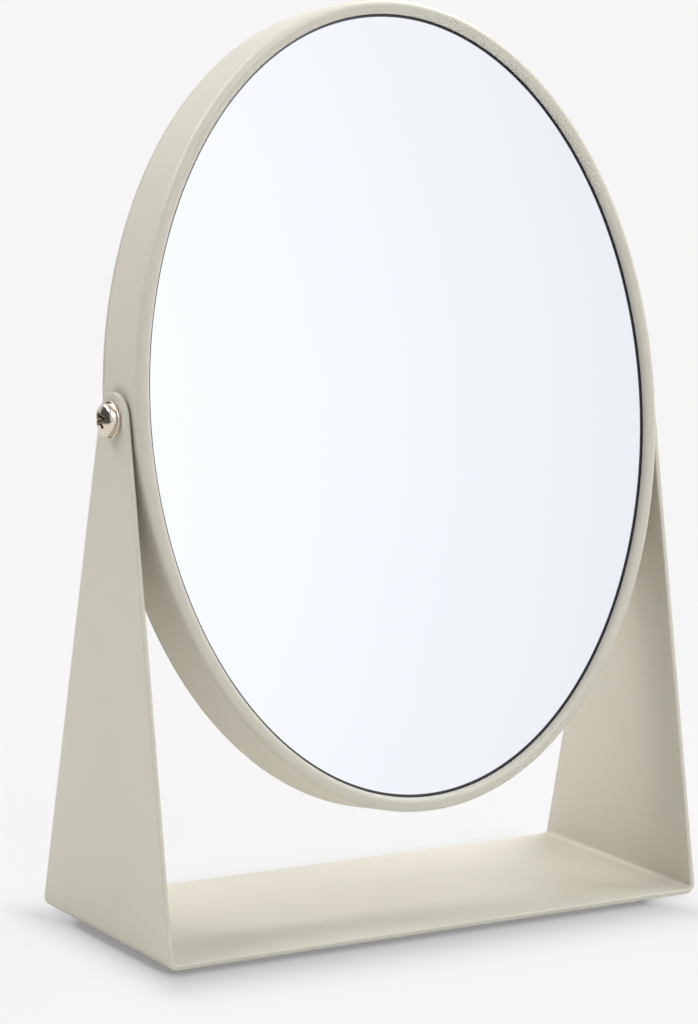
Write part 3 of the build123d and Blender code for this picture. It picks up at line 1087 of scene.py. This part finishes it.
class TABLEMIRROR_OT_pads(bpy.types.Operator):
    """Set a rubber pad under each corner of the base"""

    bl_idname = "tablemirror.pads"
    bl_label = "Base pads"

    def execute(self, context):
        stand = context.scene.mirror_stand
        section = rounded(
            [
                (0.0, 0.0, 0.0),
                (stand.pad / 2, 0.0, stand.pad_edge),
                (stand.pad / 2, stand.pad_thickness, 0.0),
                (0.0, stand.pad_thickness, 0.0),
            ],
            PAD_EDGE_STEPS,
        )
        host = tidied(lathe(section, HOLE_STEPS), "base_pad")
        middle = stand.pad / 2 + stand.pad_margin
        sizes = {
            "Spacing X": 2 * (stand.ear_inside + stand.sheet - middle),
            "Spacing Y": stand.depth - 2 * middle,
            "Material": finish(context, "pad_rubber"),
        }
        mesh = grow("base_pads", host, corner_set_tree(), sizes)
        corners = ("front_left", "front_right", "rear_left", "rear_right")
        nodes = [f"base_pad_{corner}" for corner in corners]
        settle("base_pads.set", mesh, STAND, nodes)
        return {"FINISHED"}


class TABLEMIRROR_OT_stage(bpy.types.Operator):
    """Make the floor, the light and the camera"""

    bl_idname = "tablemirror.stage"
    bl_label = "Stage"

    def execute(self, context):
        scene = context.scene
        stage = scene.mirror_stage
        scene.view_settings.view_transform = "Standard"
        make_floor(scene.mirror_colours, scene.mirror_stand)
        make_room(scene, stage, scene.mirror_colours)
        aim = Vector((0, 0, scene.mirror_stand.pivot_height))
        for name, (azimuth, elevation, size, tint) in LAMPS.items():
            add_lamp(name, getattr(stage, name), facing(azimuth, elevation), size, tint, aim)
        add_camera(scene, stage)
        return {"FINISHED"}


def seen_directly(tree):
    """Sockets that are 1 for what shows, directly or in a mirror, and for what the camera sees.

    A mirror's picture counts only when the camera sees it, not when it lights a matt surface.
    """
    add = partial(add_node, tree)
    path = add("ShaderNodeLightPath").outputs
    shows = path["Is Camera Ray"]
    for ray in ("Is Glossy Ray", "Is Transmission Ray"):
        shows = add(MATHS, {0: shows, 1: path[ray]}, operation="MAXIMUM")
    unscattered = add(MATHS, {0: path["Diffuse Depth"], 1: 0.5}, operation="LESS_THAN")
    seen = add(MATHS, {0: shows, 1: unscattered}, operation="MULTIPLY")
    return seen.outputs["Value"], path["Is Camera Ray"]


def contact_shade(tree, place, stand):
    """Node with the floor's brightness by distance from the outline of its soft shade."""
    add = partial(add_node, tree)
    half_base = Vector((stand.ear_inside, stand.depth / 2, 0.0)) + Vector(SHADE_GROWTH)
    shift = add(VECTOR_MATHS, {0: place, 1: SHADE_MIDDLE}, operation="SUBTRACT")
    spread = add(VECTOR_MATHS, {0: shift}, operation="ABSOLUTE")
    over = add(VECTOR_MATHS, {0: spread, 1: half_base}, operation="SUBTRACT")
    beyond = add(VECTOR_MATHS, {0: over}, operation="MAXIMUM")
    wide = add(VECTOR_MATHS, {0: beyond, 1: SHADE_SPREAD}, operation="MULTIPLY")
    outside = add(VECTOR_MATHS, {0: wide}, operation="LENGTH")
    past = add(VECTOR_MATHS, {0: over, 1: SHADE_STRETCH}, operation="MULTIPLY")
    sides = add("ShaderNodeSeparateXYZ", {"Vector": past}).outputs
    both = {0: sides["X"], 1: sides["Y"], 2: SHADE_CORNER}
    nearer = add(MATHS, both, operation="SMOOTH_MAX")
    inside = add(MATHS, {0: nearer, 1: 0.0}, operation="MINIMUM")
    distance = add(MATHS, {0: outside, 1: inside}, operation="ADD")
    first, last = SHADE_STEPS[0][0], SHADE_STEPS[-1][0]
    ends = {"From Min": first * MM, "From Max": last * MM}
    along = add(MAP_RANGE, {"Value": distance, **ends})
    ramp = add("ShaderNodeValToRGB", {"Fac": along})
    stops = ramp.color_ramp.elements
    while len(stops) < len(SHADE_STEPS):
        stops.new(0.5)
    for stop, (millimetres, share) in zip(stops, SHADE_STEPS):
        stop.position = (millimetres - first) / (last - first)
        stop.color = (share, share, share, 1.0)
    return ramp


def make_floor(colours, stand):
    """Pale floor that keeps the shadow near the object and fades to the backdrop's colour."""
    # Matt studio paper: close to white, with no gloss. The soft shade where the base meets it
    # is given by distance from the base, because the sheet is too thin to cast it alone.
    mesh = bpy.data.meshes.new("floor")
    corners = ((-1, -1, 0), (1, -1, 0), (1, 1, 0), (-1, 1, 0))
    mesh.from_pydata([FLOOR_HALF_SIDE * Vector(corner) for corner in corners], [], [(0, 1, 2, 3)])
    floor = linked("floor", mesh)
    material, tree, place = new_material("studio_paper")
    add = partial(add_node, tree)
    seen, by_camera = seen_directly(tree)
    ends = {"To Min": PAPER_BOUNCE, "To Max": PAPER_SHOWN}
    tone = add(MAP_RANGE, {"Value": seen, **ends})
    paper = add("ShaderNodeBsdfDiffuse", {"Color": tone})
    shade = contact_shade(tree, place, stand)
    shaded = add(VECTOR_MATHS, {0: shade, 1: colours.floor}, operation="MULTIPLY")
    corner = facing(DARK_CORNER, 0)
    towards = add(VECTOR_MATHS, {0: place, 1: corner}, operation="DOT_PRODUCT")
    ends = {"From Min": PAPER_END[0], "From Max": PAPER_END[1], "To Min": 1.0}
    gloom = add(
        MAP_RANGE,
        {"Value": towards, **ends, "To Max": DARK_CORNER_SHARE},
        interpolation_type="SMOOTHSTEP",
    )
    pictured = add("ShaderNodeMix", {"Factor": by_camera, "A": gloom, "B": 1.0})
    glow = add("ShaderNodeEmission", {"Color": shaded, "Strength": pictured})
    away = add(VECTOR_MATHS, {0: place}, operation="LENGTH")
    ends = {"From Min": FADE_REACH[0], "From Max": FADE_REACH[1], "To Min": FADE_NEAR}
    fade = add(MAP_RANGE, {"Value": away, **ends, "To Max": 1.0}, interpolation_type="SMOOTHSTEP")
    share = add(MATHS, {0: fade, 1: seen}, operation="MULTIPLY")
    blend = add("ShaderNodeMixShader", {0: share, 1: paper, 2: glow})
    add("ShaderNodeOutputMaterial", {"Surface": blend})
    mesh.materials.append(material)


def facing(azimuth, elevation):
    """Unit vector towards an azimuth right of straight in front and an elevation, in degrees."""
    across, up = radians(azimuth), radians(elevation)
    return Vector((sin(across) * cos(up), -cos(across) * cos(up), sin(up)))


def make_room(scene, stage, colours):
    """Pale room: a bright wall where the mirror looks, a dark corner and a dark upper rear."""
    world = bpy.data.worlds.new("studio_room")
    world.use_nodes = True
    scene.world = world
    tree = world.node_tree
    tree.nodes.clear()
    add = partial(add_node, tree)
    towards = add("ShaderNodeTexCoord").outputs["Generated"]
    shade = 1.0
    for azimuth, elevation, near, far, inside, outside, fall in ROOM_PATCHES:
        middle = facing(azimuth, elevation)
        dot = add(VECTOR_MATHS, {0: towards, 1: middle}, operation="DOT_PRODUCT")
        ends = {"From Min": cos(radians(far)), "From Max": cos(radians(near))}
        ends |= {"To Min": outside, "To Max": inside}
        patch = add(MAP_RANGE, {"Value": dot, **ends}, interpolation_type=fall)
        shade = add(MATHS, {0: shade, 1: patch}, operation="MULTIPLY")
    seen, by_camera = seen_directly(tree)
    shown = add("ShaderNodeMix", {"Factor": by_camera, "A": shade, "B": 1.0})
    paint = {"Color": (*colours.floor, 1.0), "Strength": shown}
    backdrop = add("ShaderNodeBackground", paint)
    lit = add(MATHS, {0: shade, 1: stage.room}, operation="MULTIPLY")
    room = add("ShaderNodeBackground", {"Color": (*WHITE, 1.0), "Strength": lit})
    blend = add("ShaderNodeMixShader", {0: seen, 1: room, 2: backdrop})
    add("ShaderNodeOutputWorld", {"Surface": blend})


def add_lamp(name, watts, direction, size, tint, aim):
    """Round soft lamp that looks at a point from a direction."""
    lamp = bpy.data.lights.new(name, "AREA")
    lamp.energy = watts
    lamp.shape = "DISK"
    lamp.size = size
    lamp.color = tint
    holder = bpy.data.objects.new(name, lamp)
    holder.location = aim + direction * LAMP_DISTANCE
    holder.rotation_euler = direction.to_track_quat("Z", "Y").to_euler()
    bpy.context.scene.collection.objects.link(holder)


def add_camera(scene, stage):
    """Camera at the photograph's place and angle."""
    data = bpy.data.cameras.new("camera")
    data.lens = stage.lens
    back = facing(degrees(stage.azimuth), degrees(stage.elevation))
    right = Vector((0, 0, 1)).cross(back).normalized()
    up = back.cross(right)
    turned_right = right * cos(stage.roll) + up * sin(stage.roll)
    turned_up = up * cos(stage.roll) - right * sin(stage.roll)
    camera = bpy.data.objects.new("camera", data)
    axes = Matrix((turned_right, turned_up, back)).transposed().to_4x4()
    camera.matrix_world = Matrix.Translation(stage.place) @ axes
    scene.collection.objects.link(camera)
    scene.camera = camera


OPERATORS = (
    TABLEMIRROR_OT_rims,
    TABLEMIRROR_OT_glass,
    TABLEMIRROR_OT_filling,
    TABLEMIRROR_OT_stand,
    TABLEMIRROR_OT_pivots,
    TABLEMIRROR_OT_pads,
    TABLEMIRROR_OT_stage,
)
GROUPS = {
    "mirror_head": HeadSizes,
    "mirror_stand": StandSizes,
    "mirror_pivot": PivotSizes,
    "mirror_colours": FinishColours,
    "mirror_stage": StageSettings,
}


class TABLEMIRROR_PT_panel(bpy.types.Panel):
    """Lists the sizes, the colours and the steps that build the mirror"""

    bl_idname = "TABLEMIRROR_PT_panel"
    bl_label = "Oval table mirror"
    bl_space_type = "VIEW_3D"
    bl_region_type = "UI"
    bl_category = "Table mirror"

    def draw(self, context):
        for name, group in GROUPS.items():
            box = self.layout.box()
            box.label(text=group.__doc__)
            for size in group.__annotations__:
                box.prop(getattr(context.scene, name), size)
        for operator in OPERATORS:
            self.layout.operator(operator.bl_idname)


def register():
    for kind in (*GROUPS.values(), *OPERATORS, TABLEMIRROR_PT_panel):
        bpy.utils.register_class(kind)
    for name, group in GROUPS.items():
        setattr(bpy.types.Scene, name, PointerProperty(type=group))


def unregister():
    for name in GROUPS:
        delattr(bpy.types.Scene, name)
    for kind in reversed((*GROUPS.values(), *OPERATORS, TABLEMIRROR_PT_panel)):
        bpy.utils.unregister_class(kind)


def main():
    """Build every piece and the stage."""
    register()
    bpy.ops.tablemirror.rims()
    bpy.ops.tablemirror.glass()
    bpy.ops.tablemirror.filling()
    bpy.ops.tablemirror.stand()
    bpy.ops.tablemirror.pivots()
    bpy.ops.tablemirror.pads()
    bpy.ops.tablemirror.stage()


if __name__ == "__main__":
    main()
